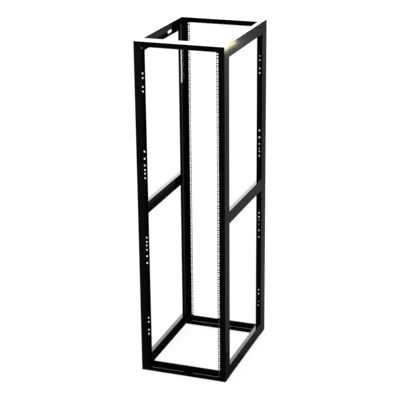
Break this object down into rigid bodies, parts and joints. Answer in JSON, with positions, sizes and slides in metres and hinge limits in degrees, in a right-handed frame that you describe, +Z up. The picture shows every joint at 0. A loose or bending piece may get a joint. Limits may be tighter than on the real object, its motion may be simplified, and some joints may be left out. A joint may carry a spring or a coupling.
{
  "type": "four post open frame rack",
  "caption": "Open frame rack: upright folded sheet posts with square-hole rails at front and rear, tied by cross channels and side bars, to carry rack-mounted equipment.",
  "frame": {"origin": "centre of the footprint, on the floor", "axes": "+Z up, +X to the rack's right seen from the front, +Y to its rear"},
  "size_m": [0.546, 0.8, 2.0693],
  "materials": {
    "frame_paint": "smooth black gloss paint",
    "bracket_paint": "smooth black gloss paint"
  },
  "bodies": {
    "root": {"front_bottom_channel": "frame_paint", "front_left_post": "frame_paint", "front_right_post": "frame_paint", "front_top_channel": "frame_paint", "left_bottom_bar": "frame_paint", "left_bottom_front_bracket": "bracket_paint", "left_bottom_rear_bracket": "bracket_paint", "left_middle_bar": "frame_paint", "left_middle_front_bracket": "bracket_paint", "left_middle_rear_bracket": "bracket_paint", "left_top_bar": "frame_paint", "left_top_front_bracket": "bracket_paint", "left_top_rear_bracket": "bracket_paint", "rear_bottom_channel": "frame_paint", "rear_left_angle_strip": "bracket_paint", "rear_left_post": "frame_paint", "rear_right_post": "frame_paint", "rear_top_channel": "frame_paint", "right_bottom_bar": "frame_paint", "right_bottom_front_bracket": "bracket_paint", "right_bottom_rear_bracket": "bracket_paint", "right_middle_bar": "frame_paint", "right_middle_front_bracket": "bracket_paint", "right_middle_rear_bracket": "bracket_paint", "right_top_bar": "frame_paint", "right_top_front_bracket": "bracket_paint", "right_top_rear_bracket": "bracket_paint"}
  },
  "joints": []
}
